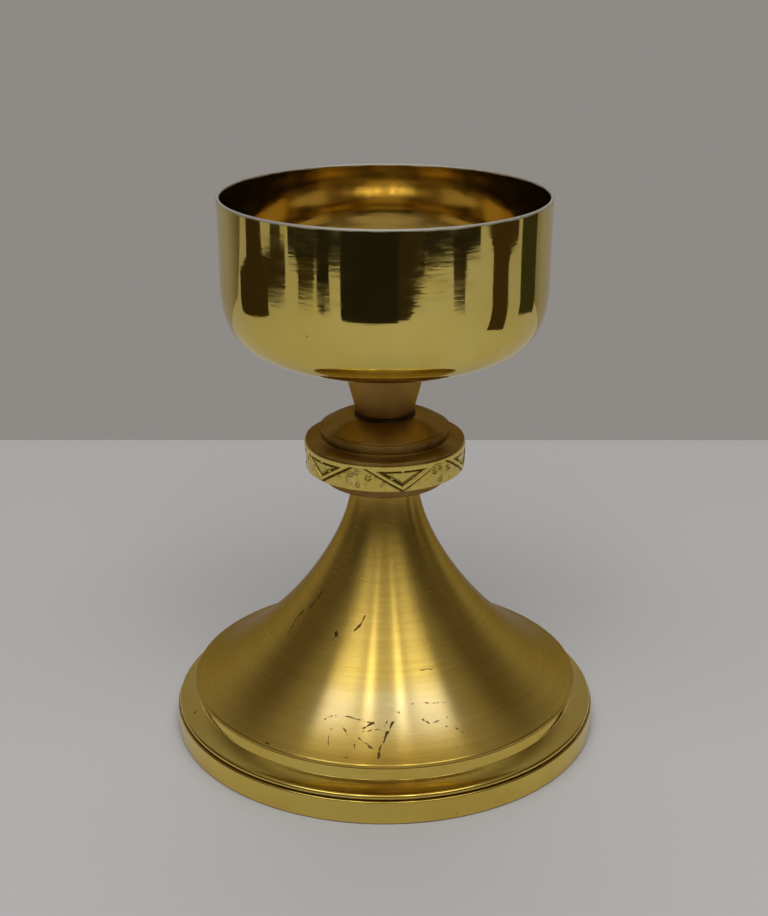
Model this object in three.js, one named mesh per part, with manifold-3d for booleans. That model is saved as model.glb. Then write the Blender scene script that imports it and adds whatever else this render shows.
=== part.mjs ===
// Travel chalice: a gilt cup that unscrews from a turned knop on a broad spun foot.
// Millimetres, +Z up, origin on the table at the centre of the foot, front of the object at -Y.
import * as THREE from 'three';
import { mergeVertices } from 'three/addons/utils/BufferGeometryUtils.js';
import Module from 'manifold-3d';

// Fits
const slipGap = 0.3; // radial clearance of everything that slips over or into a neighbour

// Foot band, the ring that the chalice stands on
const footRadius = 60.3;
const footBandHeight = 6.7;
const footBandWall = 3.0;
const footBandEdge = 0.45; // rounding of its two outer edges

// Foot cover, a spun moulding: rolled nose, hollowed slope and upright step
const sheetWall = 1.2;
const noseSetback = 0.5; // the nose lies this far inside the band
const noseRadius = 0.8;
const noseEnd = THREE.MathUtils.degToRad(68); // where the nose runs into the slope
const slopeWidth = 4.9;
const slopeRise = 1.6;
const slopeHollow = 0.3; // depth of the hollow below a straight slope
const stepHeight = 3.15;
const stepBatter = 0.7; // the step leans in by this much
const ledgeWidth = 2.6; // flat top of the step that carries the cone

// Cone, one spinning from the rolled hem up to the neck
const coneOverhang = 1.3; // the hem stands out past the top of the step
const hemRadius = 0.75;
const hemWidth = 2.2; // the sheet is folded back under itself over this width
const hemSlope = THREE.MathUtils.degToRad(21.7);
const coneHeight = 63.0; // from the seat on the step to the top of the neck
const neckRadius = 9.4;
const neckLength = 2.8; // straight part of the neck
const neckPull = 18.7; // how far the neck's upright direction carries down the flare
const hemPull = 21.7; // how far the hem's slope carries up the flare

// Knop
const lowerPlateRadius = 17.0;
const lowerPlateThickness = 3.9;
const lowerPlateEdge = 0.9;
const neckSocketDepth = 2.0; // the neck stands this deep in the lower plate
const bandRadius = 22.3;
const bandHeight = 7.3;
const coreDrumRadius = 15.2;
const coreSpigotRadius = 5.8;
const flangeRadius = 21.95;
const flangeThickness = 1.7;
const flangeRim = 0.9; // height of the flange's outer edge below the hollowed top
const flangeEdge = 0.3;
const domeRadius = 18.1;
const domeStep = 2.6; // upright edge of the dome
const domeRise = 3.3; // from that edge to the flat top
const domeEdge = 0.5;
const domeBulge = 0.75;
const domeFlatRadius = 8.8;
const ringNutRadius = 7.2;
const ringNutThickness = 1.5;
const spannerSlot = 1.6;
const washerRadius = 8.4;
const washerThickness = 0.6;

// Ornament of the knop band: raised triangles that hang from a raised top rim
const triangleTurns = [12.6, 75.0, 133.6, 192.3, 251.0, 309.6]; // degrees to the right of the front
const triangleHalfAngle = THREE.MathUtils.degToRad(29.2);
const triangleDrop = 6.8;
const triangleBorder = 0.95; // width of the raised border
const triangleHead = 1.4; // from the top of the band to the sunk field
const reliefDepth = 0.35;
const reliefRim = 0.8; // height of the raised top rim

// Cup
const cupRadius = 44.05;
const cupRimFlare = 0.3;
const cupWall = 0.9;
const cupHeight = 46.5; // from the seat on the collar to the rim
const cupUprightHeight = 21.7;
const cupSeatRadius = 12.0;
const cupFloorSlope = THREE.MathUtils.degToRad(11.2);
const cupFloorPull = 23.0;
const cupSidePull = 20.5;
const rimRounding = 0.4;

// Collar, boss and stud under the cup
const collarBottomRadius = 7.95;
const collarTopRadius = 11.45;
const collarEdge = 0.25;
const collarWeb = 2.0; // the web that the stud clamps against the boss
const shoulderRecess = 0.4; // the stud's shoulder stays this far up inside the collar
const bossRadius = 6.6;
const bossEnd = 1.8; // metal left above the boss's blind bore
const studThreadRadius = 4.0; // M8
const studReach = 10.0; // thread below the collar
const studShoulder = 1.6;
const studShoulderRadius = 6.0;
const studSpigotRadius = 3.0;
const studGrip = 7.2; // length of the spigot in the boss
const boreSpare = 0.8; // depth left past a screw's tip

// Tie rod and its nut in the hollow of the foot
const tieRodRadius = 3.0; // M6
const tieRodEnd = 2.9; // length that shows below the nut
const coreWeb = 1.6; // metal between the core's two blind bores
const seatWasherDrop = 12.5; // top of the tapered washer below the top of the neck
const seatWasherThickness = 5.0;
const lockWasherThickness = 1.6;
const lockWasherWidth = 2.2;
const lockWasherSplit = 0.9;
const tieNutAcrossFlats = 10.0;
const tieNutHeight = 5.0;

// Facets
const wideSides = 48;
const bandSides = 60;
const middleSides = 36;
const smallSides = 24;
const flareSteps = 10;
const bowlSteps = 9;

// Heights of the seats, from the table up
const stepFoot = footBandHeight + noseRadius * (1 + Math.sin(noseEnd)) + slopeRise;
const coneSeat = stepFoot + stepHeight;
const neckTop = coneSeat + coneHeight;
const lowerPlateBottom = neckTop - neckSocketDepth;
const bandSeat = lowerPlateBottom + lowerPlateThickness;
const flangeSeat = bandSeat + bandHeight;
const domeSeat = flangeSeat + flangeThickness;
const domeTop = domeSeat + domeStep + domeRise;
const collarSeat = domeTop + washerThickness;
const webBottom = collarSeat + shoulderRecess + studShoulder;
const webTop = webBottom + collarWeb;
const spigotTop = webTop + studGrip;
const cupSeat = spigotTop + boreSpare + bossEnd;
const rimTop = cupSeat + cupHeight;
const studTip = collarSeat - studReach;
const studBoreEnd = studTip - boreSpare;
const tieRodTop = studBoreEnd - coreWeb - boreSpare;
const coreBottom = neckTop - sheetWall - slipGap;
const coreTop = domeTop - slipGap;
const seatWasherTop = neckTop - seatWasherDrop;
const seatWasherBottom = seatWasherTop - seatWasherThickness;
const lockWasherBottom = seatWasherBottom - lockWasherThickness;
const tieNutBottom = lockWasherBottom - tieNutHeight;

// Radii that follow from the neighbours
const noseCentreRadius = footRadius - noseSetback - noseRadius;
const noseTopRadius = noseCentreRadius + noseRadius * Math.cos(noseEnd);
const stepFootRadius = noseTopRadius - slopeWidth;
const stepTopRadius = stepFootRadius - stepBatter;
const ledgeInnerRadius = stepTopRadius - ledgeWidth;
const spigotHoleRadius = coreSpigotRadius + slipGap;
const bandBoreRadius = coreDrumRadius + slipGap;

const { CubicBezierCurve, QuadraticBezierCurve, Vector2 } = THREE;

// A point of a profile: radius from the axis and height
const at = (radius, height) => new Vector2(radius, height);

// Points on a rounding, from one direction to another about its centre
function rounding(centre, radius, from, to, steps) {
  const points = [];
  for (let step = 0; step <= steps; step += 1) {
    const angle = THREE.MathUtils.degToRad(from + ((to - from) * step) / steps);
    points.push(at(centre.x + radius * Math.cos(angle), centre.y + radius * Math.sin(angle)));
  }
  return points;
}

// Points of a curve, moved sideways by a distance to the left of its direction
function alongside(curve, distance, steps) {
  return Array.from({ length: steps + 1 }, (_, step) => {
    const tangent = curve.getTangent(step / steps);
    return curve.getPoint(step / steps).add(at(-tangent.y * distance, tangent.x * distance));
  });
}

// A turned or spun piece: its half section, swept about the axis
function turned(section, sides) {
  const repeats = (index) => index > 0 && section[index].distanceTo(section[index - 1]) <= 1e-4;
  const points = section.filter((_, index) => !repeats(index));
  if (THREE.ShapeUtils.isClockWise(points)) points.reverse();
  const onAxis = points.filter((point) => point.x < 1e-6).length;
  if (onAxis === 0) {
    points.push(points[0].clone());
  } else {
    while (points[0].x > 1e-6 || points[points.length - 1].x > 1e-6) points.push(points.shift());
  }
  return new THREE.LatheGeometry(points, sides).rotateX(Math.PI / 2);
}

// A plain ring of rectangular section
function ring(inner, outer, bottom, top, sides) {
  return turned([at(inner, bottom), at(outer, bottom), at(outer, top), at(inner, top)], sides);
}

// A flat outline raised to a height
function plate(outline, bottom, thickness, curveSegments) {
  const settings = { depth: thickness, bevelEnabled: false, curveSegments };
  return new THREE.ExtrudeGeometry(outline, settings).translate(0, 0, bottom);
}

// Solids to be cut or joined
const wasm = await Module();
wasm.setup();

function toSolid(geometry) {
  const bare = geometry.clone();
  bare.deleteAttribute('normal');
  bare.deleteAttribute('uv');
  const merged = mergeVertices(bare, 1e-5);
  const vertProperties = new Float32Array(merged.attributes.position.array);
  const triVerts = new Uint32Array(merged.index.array);
  return new wasm.Manifold(new wasm.Mesh({ numProp: 3, vertProperties, triVerts }));
}

function toGeometry(solid) {
  const mesh = solid.getMesh();
  const geometry = new THREE.BufferGeometry();
  geometry.setAttribute('position', new THREE.BufferAttribute(new Float32Array(mesh.vertProperties), 3));
  geometry.setIndex(new THREE.BufferAttribute(new Uint32Array(mesh.triVerts), 1));
  geometry.computeVertexNormals();
  return geometry;
}

// Finishes
function finish(color, roughness, metalness) {
  return new THREE.MeshStandardMaterial({ color, roughness, metalness });
}

const gilt = finish(0xd9b24a, 0.12, 1.0);
const brushedGold = finish(0xb99237, 0.38, 1.0);
const polishedGold = finish(0xcda23f, 0.16, 1.0);
const satinBronze = finish(0x8f6a2f, 0.42, 1.0);
const brightBand = finish(0xd1b15c, 0.25, 1.0);
const turnedBrass = finish(0xb08d43, 0.35, 1.0);
const steel = finish(0x9a9a96, 0.4, 1.0);
const fibre = finish(0x3a2a1c, 0.85, 0.0);

const chalice = new THREE.Group();

function piece(group, name, geometry, material) {
  const mesh = new THREE.Mesh(geometry, material);
  mesh.name = name;
  group.add(mesh);
  return mesh;
}

// Foot band
function footBand() {
  const inner = footRadius - footBandWall;
  const bottomCentre = at(footRadius - footBandEdge, footBandEdge);
  const topCentre = at(footRadius - footBandEdge, footBandHeight - footBandEdge);
  return turned([
    at(inner, 0),
    ...rounding(bottomCentre, footBandEdge, -90, 0, 2),
    ...rounding(topCentre, footBandEdge, 0, 90, 2),
    at(inner, footBandHeight),
  ], wideSides);
}

// Foot cover
function footCover() {
  const noseCentre = at(noseCentreRadius, footBandHeight + noseRadius);
  const slopeTop = at(stepFootRadius, stepFoot);
  const noseTop = at(noseTopRadius, noseCentre.y + noseRadius * Math.sin(noseEnd));
  const hollow = noseTop.clone().add(slopeTop).multiplyScalar(0.5).sub(at(0, 2 * slopeHollow));
  const slope = new QuadraticBezierCurve(noseTop, hollow, slopeTop);
  const inside = noseCentreRadius - sheetWall;
  const noseInsideTop = noseTop.y - sheetWall;
  return turned([
    at(inside, footBandHeight),
    ...rounding(noseCentre, noseRadius, -90, THREE.MathUtils.radToDeg(noseEnd), 4),
    ...slope.getPoints(3),
    at(stepTopRadius, coneSeat),
    at(ledgeInnerRadius, coneSeat),
    at(ledgeInnerRadius, coneSeat - sheetWall),
    at(stepTopRadius - sheetWall, coneSeat - sheetWall),
    at(stepFootRadius - sheetWall, stepFoot - sheetWall),
    at(inside, noseInsideTop),
  ], wideSides);
}

// Outline of the cone's outside, from the hem up to the neck
function coneCurve() {
  const hemCentre = at(stepTopRadius + coneOverhang - hemRadius, coneSeat + hemRadius);
  const normal = at(Math.sin(hemSlope), Math.cos(hemSlope));
  const hemTop = hemCentre.clone().addScaledVector(normal, hemRadius);
  const neckFoot = at(neckRadius, neckTop - neckLength);
  const hemHandle = hemTop.clone().add(at(-Math.cos(hemSlope) * hemPull, Math.sin(hemSlope) * hemPull));
  const neckHandle = neckFoot.clone().sub(at(0, neckPull));
  return { hemCentre, curve: new CubicBezierCurve(hemTop, hemHandle, neckHandle, neckFoot) };
}

// The cone's inside surface: the outside moved in by the sheet, from the neck down to the hem's fold
function coneInside() {
  const { hemCentre, curve } = coneCurve();
  const hemInner = hemCentre.x - hemWidth;
  const points = alongside(curve, sheetWall, flareSteps).reverse();
  const kept = points.filter((point) => point.x < hemInner);
  const last = kept[kept.length - 1];
  const next = points[kept.length];
  const share = (hemInner - last.x) / (next.x - last.x);
  return [...kept, last.clone().lerp(next, share)];
}

function coneShell() {
  const { hemCentre, curve } = coneCurve();
  const hemTopAngle = 90 - THREE.MathUtils.radToDeg(hemSlope);
  return turned([
    at(hemCentre.x - hemWidth, coneSeat),
    ...rounding(hemCentre, hemRadius, -90, hemTopAngle, 4),
    ...curve.getPoints(flareSteps),
    at(neckRadius, neckTop),
    at(spigotHoleRadius, neckTop),
    at(spigotHoleRadius, neckTop - sheetWall),
    at(neckRadius - sheetWall, neckTop - sheetWall),
    ...coneInside(),
  ], wideSides);
}

// Lower plate of the knop, with the socket for the neck
function lowerPlate() {
  const socket = neckRadius + slipGap;
  const edgeCentre = at(lowerPlateRadius - lowerPlateEdge, lowerPlateBottom + lowerPlateEdge);
  return turned([
    at(socket, lowerPlateBottom),
    ...rounding(edgeCentre, lowerPlateEdge, -90, 0, 3),
    at(lowerPlateRadius, bandSeat),
    at(spigotHoleRadius, bandSeat),
    at(spigotHoleRadius, neckTop),
    at(socket, neckTop),
  ], middleSides);
}

// Core of the knop: a drum with a spigot at each end, bored below for the tie rod and above for the stud
function knopCore() {
  const rodBore = tieRodRadius + slipGap;
  const studBore = studThreadRadius + slipGap;
  return turned([
    at(0, studBoreEnd),
    at(studBore, studBoreEnd),
    at(studBore, coreTop),
    at(coreSpigotRadius, coreTop),
    at(coreSpigotRadius, flangeSeat),
    at(coreDrumRadius, flangeSeat),
    at(coreDrumRadius, bandSeat),
    at(coreSpigotRadius, bandSeat),
    at(coreSpigotRadius, coreBottom),
    at(rodBore, coreBottom),
    at(rodBore, tieRodTop + boreSpare),
    at(0, tieRodTop + boreSpare),
  ], smallSides);
}

// One triangle of the ornament, a bordered prism that points down, on the band's side
function triangleFrame(turn) {
  const halfWidth = bandRadius * Math.sin(triangleHalfAngle);
  const spread = halfWidth / triangleDrop;
  const innerTop = flangeSeat - triangleHead;
  const innerTip = flangeSeat - triangleDrop + triangleBorder / Math.sin(Math.atan(spread));
  const innerHalf = (innerTop - innerTip) * spread;
  const outline = new THREE.Shape([
    at(-halfWidth, flangeSeat),
    at(0, flangeSeat - triangleDrop),
    at(halfWidth, flangeSeat),
  ]);
  outline.holes.push(new THREE.Path([
    at(-innerHalf, innerTop),
    at(0, innerTip),
    at(innerHalf, innerTop),
  ]));
  const depth = bandRadius / 2;
  const geometry = plate(outline, bandRadius - depth / 2, depth, 1);
  return toSolid(geometry.rotateX(Math.PI / 2).rotateZ(turn));
}

// Knop band: a plain ring that carries a raised top rim and the raised triangles
function knopBand() {
  const ground = bandRadius - reliefDepth;
  const skinInner = ground - reliefDepth;
  const skin = toSolid(ring(skinInner, bandRadius, bandSeat, flangeSeat, bandSides));
  let band = toSolid(ring(bandBoreRadius, ground, bandSeat, flangeSeat, bandSides));
  band = band.add(toSolid(ring(skinInner, bandRadius, flangeSeat - reliefRim, flangeSeat, bandSides)));
  for (const turn of triangleTurns) {
    band = band.add(triangleFrame(THREE.MathUtils.degToRad(turn)).intersect(skin));
  }
  return toGeometry(band);
}

// Flange: a thin disc whose top is hollowed up to the dome
function knopFlange() {
  const rimTopHeight = flangeSeat + flangeRim;
  const edgeCentre = at(flangeRadius - flangeEdge, flangeSeat + flangeEdge);
  const coveStart = at(flangeRadius - 2 * flangeEdge, rimTopHeight + flangeEdge / 2);
  const coveEnd = at(domeRadius - slipGap, domeSeat);
  const cove = new QuadraticBezierCurve(coveStart, at(coveEnd.x + flangeEdge, coveStart.y), coveEnd);
  return turned([
    at(spigotHoleRadius, flangeSeat),
    ...rounding(edgeCentre, flangeEdge, -90, 0, 2),
    at(flangeRadius, rimTopHeight),
    ...cove.getPoints(4),
    at(spigotHoleRadius, domeSeat),
  ], middleSides);
}

// Dome: upright edge, rounded corner and a slightly full top, sunk in the middle for the ring nut
function knopDome() {
  const edgeCentre = at(domeRadius - domeEdge, domeSeat + domeStep - domeEdge);
  const flatStart = at(domeFlatRadius, domeTop);
  const edgeEnd = at(edgeCentre.x, edgeCentre.y + domeEdge);
  const middle = edgeEnd.clone().add(flatStart).multiplyScalar(0.5).add(at(0, 2 * domeBulge));
  const top = new QuadraticBezierCurve(edgeEnd, middle, flatStart);
  const sinkRadius = ringNutRadius + slipGap;
  return turned([
    at(spigotHoleRadius, domeSeat),
    at(domeRadius - slipGap, domeSeat),
    ...rounding(edgeCentre, domeEdge, 0, 90, 3),
    ...top.getPoints(4),
    at(sinkRadius, domeTop),
    at(sinkRadius, domeTop - ringNutThickness),
    at(spigotHoleRadius, domeTop - ringNutThickness),
  ], middleSides);
}

// Ring nut that holds the knop on the core, with two slots for a pin spanner
function ringNut() {
  const bore = spigotHoleRadius;
  const slot = spannerSlot / 2;
  const slotAngle = Math.asin(slot / ringNutRadius);
  const slotFloor = (ringNutRadius + bore) / 2;
  const outline = new THREE.Shape();
  outline.absarc(0, 0, ringNutRadius, slotAngle, Math.PI - slotAngle, false);
  outline.lineTo(-slotFloor, slot);
  outline.lineTo(-slotFloor, -slot);
  outline.absarc(0, 0, ringNutRadius, Math.PI + slotAngle, 2 * Math.PI - slotAngle, false);
  outline.lineTo(slotFloor, -slot);
  outline.lineTo(slotFloor, slot);
  outline.holes.push(new THREE.Path().absarc(0, 0, bore, 0, 2 * Math.PI, true));
  return plate(outline, domeTop - ringNutThickness, ringNutThickness, smallSides / 3);
}

// Bowl of the cup: flat seat, shallow floor, round corner and upright side with a rounded lip
function cupBowl() {
  const seatEdge = at(cupSeatRadius, cupSeat);
  const floorPull = at(Math.cos(cupFloorSlope), Math.sin(cupFloorSlope)).multiplyScalar(cupFloorPull);
  const sideFoot = at(cupRadius, rimTop - cupUprightHeight);
  const sidePull = sideFoot.clone().sub(at(0, cupSidePull));
  const curve = new CubicBezierCurve(seatEdge, seatEdge.clone().add(floorPull), sidePull, sideFoot);
  const lipHeight = rimTop - rimRounding;
  const lipOuter = at(cupRadius + cupRimFlare - rimRounding, lipHeight);
  const lipInner = at(cupRadius + cupRimFlare - cupWall + rimRounding, lipHeight);
  return turned([
    at(0, cupSeat),
    ...curve.getPoints(bowlSteps),
    ...rounding(lipOuter, rimRounding, 0, 90, 2),
    ...rounding(lipInner, rimRounding, 90, 180, 2),
    ...alongside(curve, cupWall, bowlSteps).reverse(),
    at(0, cupSeat + cupWall),
  ], wideSides);
}

// Collar: a tapered ferrule with a web inside its lower end
function cupCollar() {
  return turned([
    at(studShoulderRadius + slipGap, collarSeat),
    at(collarBottomRadius - collarEdge, collarSeat),
    at(collarBottomRadius, collarSeat + collarEdge),
    at(collarTopRadius, cupSeat),
    at(bossRadius + slipGap, cupSeat),
    at(bossRadius + slipGap, webTop),
    at(studSpigotRadius + slipGap, webTop),
    at(studSpigotRadius + slipGap, webBottom),
    at(studShoulderRadius + slipGap, webBottom),
  ], middleSides);
}

// Boss soldered under the bowl, bored for the stud's spigot
function cupBoss() {
  const bore = studSpigotRadius + slipGap;
  return turned([
    at(0, cupSeat - bossEnd),
    at(bore, cupSeat - bossEnd),
    at(bore, webTop),
    at(bossRadius, webTop),
    at(bossRadius, cupSeat),
    at(0, cupSeat),
  ], smallSides);
}

// Stud: spigot for the boss, shoulder under the collar's web, and the long thread for the knop
function cupStud() {
  const chamfer = studThreadRadius / 5;
  return turned([
    at(0, studTip),
    at(studThreadRadius - chamfer, studTip),
    at(studThreadRadius, studTip + chamfer),
    at(studThreadRadius, webBottom - studShoulder),
    at(studShoulderRadius, webBottom - studShoulder),
    at(studShoulderRadius, webBottom),
    at(studSpigotRadius, webBottom),
    at(studSpigotRadius, spigotTop),
    at(0, spigotTop),
  ], smallSides);
}

// Radius of a falling line of points at a height
function radiusAt(points, height) {
  const below = points.findIndex((point) => point.y <= height);
  const from = points[below - 1];
  const to = points[below];
  return from.x + ((to.x - from.x) * (from.y - height)) / (from.y - to.y);
}

// Tapered washer that seats in the throat of the cone
function seatWasher() {
  const throat = coneInside();
  const heights = [0, 0.5, 1].map((share) => seatWasherTop - share * seatWasherThickness);
  const bore = tieRodRadius + slipGap;
  return turned([
    at(bore, seatWasherTop),
    ...heights.map((height) => at(radiusAt(throat, height) - slipGap, height)),
    at(bore, seatWasherBottom),
  ], middleSides);
}

// Spring washer, split at one side
function lockWasher() {
  const inner = tieRodRadius + slipGap;
  const outer = inner + lockWasherWidth;
  const outerGap = Math.asin(lockWasherSplit / 2 / outer);
  const innerGap = Math.asin(lockWasherSplit / 2 / inner);
  const outline = new THREE.Shape();
  outline.absarc(0, 0, outer, outerGap, 2 * Math.PI - outerGap, false);
  outline.absarc(0, 0, inner, 2 * Math.PI - innerGap, innerGap, true);
  return plate(outline, lockWasherBottom, lockWasherThickness, smallSides / 2);
}

// Hexagon nut on the tie rod
function tieNut() {
  const corner = tieNutAcrossFlats / 2 / Math.cos(Math.PI / 6);
  const corners = Array.from({ length: 6 }, (_, index) => {
    const angle = (index * Math.PI) / 3;
    return at(corner * Math.cos(angle), corner * Math.sin(angle));
  });
  const outline = new THREE.Shape(corners);
  outline.holes.push(new THREE.Path().absarc(0, 0, tieRodRadius + slipGap, 0, 2 * Math.PI, true));
  return plate(outline, tieNutBottom, tieNutHeight, smallSides / 2);
}

// Base: everything that stays on the table
const base = new THREE.Group();
piece(base, 'foot_band', footBand(), polishedGold);
piece(base, 'foot_cover', footCover(), polishedGold);
piece(base, 'cone_shell', coneShell(), brushedGold);
piece(base, 'knop_lower_plate', lowerPlate(), satinBronze);
piece(base, 'knop_core', knopCore(), turnedBrass);
piece(base, 'knop_band', knopBand(), brightBand);
piece(base, 'knop_flange', knopFlange(), satinBronze);
piece(base, 'knop_dome', knopDome(), satinBronze);
piece(base, 'knop_ring_nut', ringNut(), turnedBrass);
piece(base, 'tie_rod', turned([
  at(0, tieNutBottom - tieRodEnd),
  at(tieRodRadius, tieNutBottom - tieRodEnd),
  at(tieRodRadius, tieRodTop),
  at(0, tieRodTop),
], smallSides), steel);
piece(base, 'seat_washer', seatWasher(), turnedBrass);
piece(base, 'lock_washer', lockWasher(), steel);
piece(base, 'tie_nut', tieNut(), steel);

// The washer between collar and dome turns with the cup but does not rise with it
const washer = new THREE.Group();
const washerBore = studThreadRadius + slipGap;
piece(washer, 'collar_washer', ring(washerBore, washerRadius, domeTop, collarSeat, middleSides), fibre);

// Cup: everything that unscrews
const cup = new THREE.Group();
piece(cup, 'cup_bowl', cupBowl(), gilt);
piece(cup, 'cup_collar', cupCollar(), satinBronze);
piece(cup, 'cup_boss', cupBoss(), turnedBrass);
piece(cup, 'cup_stud', cupStud(), turnedBrass);

chalice.add(base, washer, cup);

export default chalice;
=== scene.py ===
import math

import bmesh
import bpy
import numpy as np
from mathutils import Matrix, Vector

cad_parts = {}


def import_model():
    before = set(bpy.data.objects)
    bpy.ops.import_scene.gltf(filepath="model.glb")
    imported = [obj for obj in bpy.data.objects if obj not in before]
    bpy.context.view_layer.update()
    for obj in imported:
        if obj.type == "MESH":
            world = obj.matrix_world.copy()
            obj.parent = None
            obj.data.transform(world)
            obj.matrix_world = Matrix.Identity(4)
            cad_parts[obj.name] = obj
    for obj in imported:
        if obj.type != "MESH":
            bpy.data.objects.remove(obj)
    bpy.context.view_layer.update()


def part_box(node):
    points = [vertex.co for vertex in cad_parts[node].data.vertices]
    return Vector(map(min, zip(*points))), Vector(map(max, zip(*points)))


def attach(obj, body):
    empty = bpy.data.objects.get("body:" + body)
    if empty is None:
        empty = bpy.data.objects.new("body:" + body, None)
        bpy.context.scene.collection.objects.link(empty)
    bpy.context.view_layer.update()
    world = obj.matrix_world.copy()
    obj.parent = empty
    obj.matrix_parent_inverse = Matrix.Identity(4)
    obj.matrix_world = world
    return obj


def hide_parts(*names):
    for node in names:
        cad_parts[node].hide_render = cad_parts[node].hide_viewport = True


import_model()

# Sizes here are in millimetres, and become metres when a mesh is made
MM = 0.001
FULL = 2 * math.pi


def reach(node):
    """Outer radius, lowest and highest point of a CAD node."""
    low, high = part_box(node)
    return high.x / MM, low.z / MM, high.z / MM


BAND_R, GROUND, BAND_TOP = reach("foot_band")
COVER_R, _, CONE_SEAT = reach("foot_cover")
HEM_R, _, NECK_TOP = reach("cone_shell")
PLATE_R, PLATE_BOTTOM, RING_SEAT = reach("knop_lower_plate")
RING_R, _, FLANGE_SEAT = reach("knop_band")
FLANGE_R, _, DOME_SEAT = reach("knop_flange")
DOME_R, _, DOME_TOP = reach("knop_dome")
CORE_R, CORE_BOTTOM, CORE_TOP = reach("knop_core")
NUT_R, NUT_SEAT, _ = reach("knop_ring_nut")
WASHER_R, _, COLLAR_SEAT = reach("collar_washer")
COLLAR_R, _, CUP_SEAT = reach("cup_collar")
BOSS_R, BOSS_BOTTOM, _ = reach("cup_boss")
_, STUD_TIP, STUD_TOP = reach("cup_stud")
BOWL_R, _, RIM = reach("cup_bowl")
ROD_R, ROD_TIP, ROD_TOP = reach("tie_rod")
_, SEAT_BOTTOM, SEAT_TOP = reach("seat_washer")
LOCK_R, LOCK_BOTTOM, LOCK_TOP = reach("lock_washer")
HEX_R, HEX_BOTTOM, HEX_TOP = reach("tie_nut")

# Thickness of the spun sheet and of the cup, and the play between parts that fit together
SHEET = 1.2
CUP_WALL = 0.9
SLIP = 0.3

# Foot ring and moulding
BAND_WALL = 3.0
BAND_ROUND = 0.45
NOSE_ROUND = 0.8
NOSE_END = 68
SLOPE_WIDTH = 4.9
STEP_HEIGHT = 3.15

# Cone: its hem, its neck and how far each end pulls the curve
HEM_ROUND = 0.75
HEM_WIDTH = 2.2
HEM_SLOPE = 21.7
HEM_PULL = 21.7
NECK_R = 9.4
NECK_LENGTH = 2.8
NECK_PULL = 18.7

# Knop and screws
KNOP_BORE = 6.1
FLANGE_RIM = 0.9
STUD_R = 4.0
STUD_PITCH = 1.25
ROD_PITCH = 1.0
WASHER_BORE = 4.3

# Cup: its flat middle, its side, how far each end pulls the curve, and its lip
CUP_FLAT = 12.0
CUP_SLOPE = 11.2
CUP_SIDE = 21.7
FLAT_PULL = 23.0
SIDE_PULL = 20.5
LIP_FLARE = 0.3
LIP_ROUND = 0.4


# Outlines in the half plane of radius and height

def arc(centre, radius, start, end, steps):
    """Points of an arc, angles in degrees."""
    angles = [math.radians(start + (end - start) * i / steps) for i in range(steps + 1)]
    return [(centre[0] + radius * math.cos(a), centre[1] + radius * math.sin(a)) for a in angles]


def bezier(points, steps):
    """Points of a curve of any degree."""
    degree = len(points) - 1
    made = []
    for i in range(steps + 1):
        t = i / steps
        weights = [math.comb(degree, k) * t**k * (1 - t) ** (degree - k) for k in range(degree + 1)]
        made.append(tuple(sum(w * p[axis] for w, p in zip(weights, points)) for axis in (0, 1)))
    return made


def offset(points, distance):
    """An open line moved to the left of its direction."""
    moved = []
    for i, p in enumerate(points):
        a, b = points[max(i - 1, 0)], points[min(i + 1, len(points) - 1)]
        dx, dy = b[0] - a[0], b[1] - a[1]
        size = math.hypot(dx, dy)
        moved.append((p[0] - dy / size * distance, p[1] + dx / size * distance))
    return moved


def without_repeats(points):
    kept = []
    for p in points:
        if not kept or math.dist(p, kept[-1]) > 1e-3:
            kept.append(p)
    if len(kept) > 1 and math.dist(kept[0], kept[-1]) < 1e-3:
        kept.pop()
    return kept


def softened(points, edge, steps=3, sharpest=28):
    """Rounds each corner of a closed outline that turns by more than a few degrees, as a worked edge is."""
    points = without_repeats(points)
    made = []
    for i, p in enumerate(points):
        a, b = points[i - 1], points[(i + 1) % len(points)]
        before, after = math.dist(a, p), math.dist(p, b)
        u = ((p[0] - a[0]) / before, (p[1] - a[1]) / before)
        v = ((b[0] - p[0]) / after, (b[1] - p[1]) / after)
        turn = math.degrees(math.acos(max(-1.0, min(1.0, u[0] * v[0] + u[1] * v[1]))))
        if turn < sharpest or p[0] < 1e-6:
            made.append(p)
            continue
        cut = min(edge * math.tan(math.radians(turn / 2)), 0.4 * before, 0.4 * after)
        start = (p[0] - u[0] * cut, p[1] - u[1] * cut)
        end = (p[0] + v[0] * cut, p[1] + v[1] * cut)
        made += bezier([start, p, end], steps)
    return made


def guarded(points, guard=0.12):
    """Adds a point near both ends of each long stretch, so that smooth shading stays at the edges."""
    made = []
    for i, p in enumerate(points):
        q = points[(i + 1) % len(points)]
        made.append(p)
        length = math.dist(p, q)
        if length > 4 * guard:
            for share in (guard / length, 1 - guard / length):
                made.append((p[0] + (q[0] - p[0]) * share, p[1] + (q[1] - p[1]) * share))
    return made


def area_of(points):
    total = 0.0
    for i, p in enumerate(points):
        q = points[(i + 1) % len(points)]
        total += p[0] * q[1] - q[0] * p[1]
    return total / 2


# Meshes

def mesh_object(name, vertices, faces, materials, inner=None):
    """A smooth shaded mesh. Faces for which inner(centre, normal) holds get the second material."""
    data = bpy.data.meshes.new(name)
    data.from_pydata([tuple(c * MM for c in v) for v in vertices], [], faces)
    data.validate()
    shape = bmesh.new()
    shape.from_mesh(data)
    bmesh.ops.recalc_face_normals(shape, faces=shape.faces)
    for face in shape.faces:
        face.smooth = True
        if inner is not None and inner(face.calc_center_median() / MM, face.normal):
            face.material_index = 1
    shape.to_mesh(data)
    shape.free()
    for material in materials:
        data.materials.append(material)
    made = bpy.data.objects.new(name, data)
    bpy.context.scene.collection.objects.link(made)
    return made


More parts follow.
